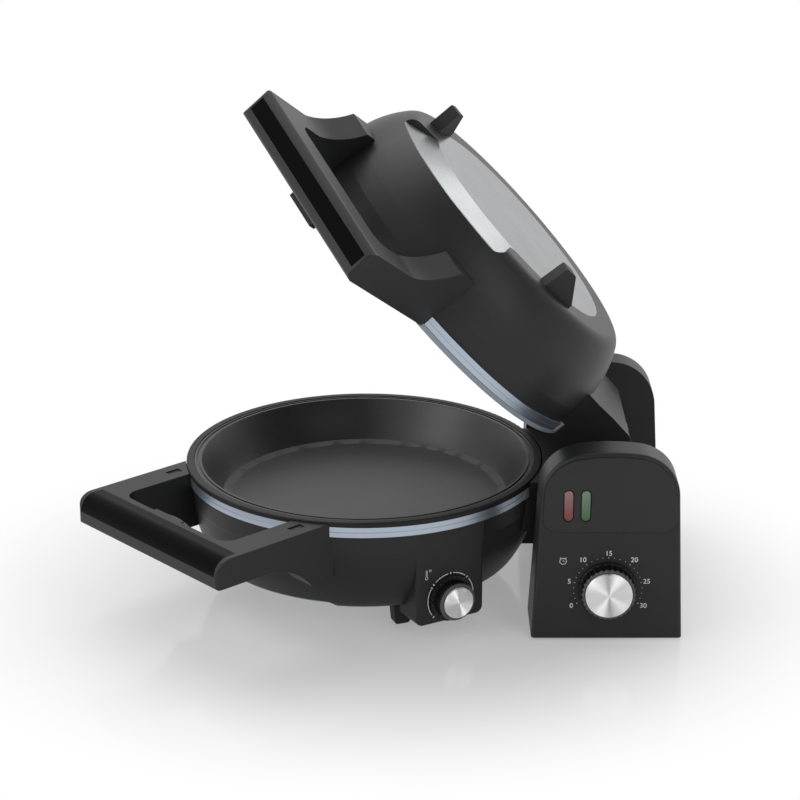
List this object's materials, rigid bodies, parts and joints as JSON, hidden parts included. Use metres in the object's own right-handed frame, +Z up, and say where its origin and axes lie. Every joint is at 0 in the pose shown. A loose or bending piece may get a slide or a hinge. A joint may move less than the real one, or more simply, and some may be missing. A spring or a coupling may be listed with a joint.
{
  "type": "tortilla maker",
  "caption": "Reversible round omelette cooker: two hinged heated halves with a shared side handle, on a hinge pin between two towers with timer and lamps.",
  "frame": {"origin": "bottom centre of the object's bounding box, on the table", "axes": "+X from the pan towards the towers, +Y to the rear, +Z up; the hinge axis runs along Y"},
  "size_m": [0.4456, 0.3382, 0.4019],
  "materials": {
    "satin_black": "satin moulded",
    "panel_black": "satin moulded",
    "gloss_black": "high gloss",
    "rim_black": "matt",
    "nonstick": "non-stick coating",
    "trim_silver": "satin",
    "clip_grey": "matt",
    "disc_silver": "satin",
    "foot_rubber": "matt",
    "knob_black": "satin",
    "knob_aluminium": "radially brushed",
    "red_lens": "translucent",
    "green_lens": "translucent",
    "steel": "zinc plated",
    "bush_brass": "turned",
    "element_steel": "heat stained",
    "reflector_aluminium": "pressed sheet",
    "board_green": "lacquered",
    "lamp_glass": "clear",
    "wire_white": "silicone sleeve",
    "device_white": "matt"
  },
  "bodies": {
    "base": {"base_bridge": "satin_black", "front_tower_shell": "satin_black", "front_lamp_panel": "panel_black", "red_lens": "red_lens", "green_lens": "green_lens", "lamp_board": "board_green", "neon_lamps": "lamp_glass", "timer_mechanism": "steel", "timer_bell": "steel", "front_bottom_plate": "satin_black", "rear_tower_shell": "satin_black", "rear_bottom_plate": "satin_black", "base_feet": "foot_rubber", "bottom_screws": "steel", "hinge_pin": "steel", "pin_nuts": "steel", "pivot_wires": "wire_white", "cord_gland": "satin_black", "terminal_block": "device_white"},
    "timer": {"timer_shaft": "steel", "timer_knob": "knob_black", "timer_knob_cap": "knob_aluminium"},
    "lower_half": {"lower_shell": "satin_black", "lower_handle_grip": "gloss_black", "lower_rim_ring": "rim_black", "lower_plate": "nonstick", "lower_trim_ring": "trim_silver", "lower_ring_clips": "clip_grey", "lower_heating_element": "element_steel", "lower_reflector": "reflector_aluminium", "lower_disc": "disc_silver", "lower_feet": "foot_rubber", "lower_bushes": "bush_brass", "lower_neck_cover": "satin_black", "lower_plate_screws": "steel", "thermostat": "device_white", "latch_catch": "satin_black"},
    "thermostat_dial": {"thermostat_shaft": "steel", "thermostat_knob": "knob_black", "thermostat_knob_cap": "knob_aluminium"},
    "upper_half": {"upper_shell": "satin_black", "upper_handle_grip": "gloss_black", "upper_rim_ring": "rim_black", "upper_plate": "nonstick", "upper_trim_ring": "trim_silver", "upper_ring_clips": "clip_grey", "upper_heating_element": "element_steel", "upper_reflector": "reflector_aluminium", "upper_disc": "disc_silver", "upper_feet": "foot_rubber", "upper_bushes": "bush_brass", "upper_neck_cover": "satin_black", "upper_plate_screws": "steel", "upper_thermal_fuse": "device_white"},
    "latch": {"lid_latch": "rim_black"}
  },
  "joints": [
    {"name": "flip_hinge", "type": "hinge", "parent": "base", "child": "lower_half", "pos_m": [0.16381, 0.03215, 0.099], "axis": [0, 1, 0], "range_deg": [0, 130]},
    {"name": "lid_hinge", "type": "hinge", "parent": "lower_half", "child": "upper_half", "pos_m": [0.16381, 0.03215, 0.099], "axis": [0, 1, 0], "range_deg": [-47.5, 0]},
    {"name": "latch_slide", "type": "slide", "parent": "upper_half", "child": "latch", "axis": [-0.5021, -0.6691, 0.5479], "range_m": [0, 0.0025]},
    {"name": "timer_turn", "type": "hinge", "parent": "base", "child": "timer", "pos_m": [0.16731, -0.09285, 0.0415], "axis": [0, -1, 0], "range_deg": [-108, 108]},
    {"name": "thermostat_turn", "type": "hinge", "parent": "lower_half", "child": "thermostat_dial", "pos_m": [0.05251, -0.08176, 0.03], "axis": [0.4939, -0.8695, 0], "range_deg": [-135, 135]}
  ]
}
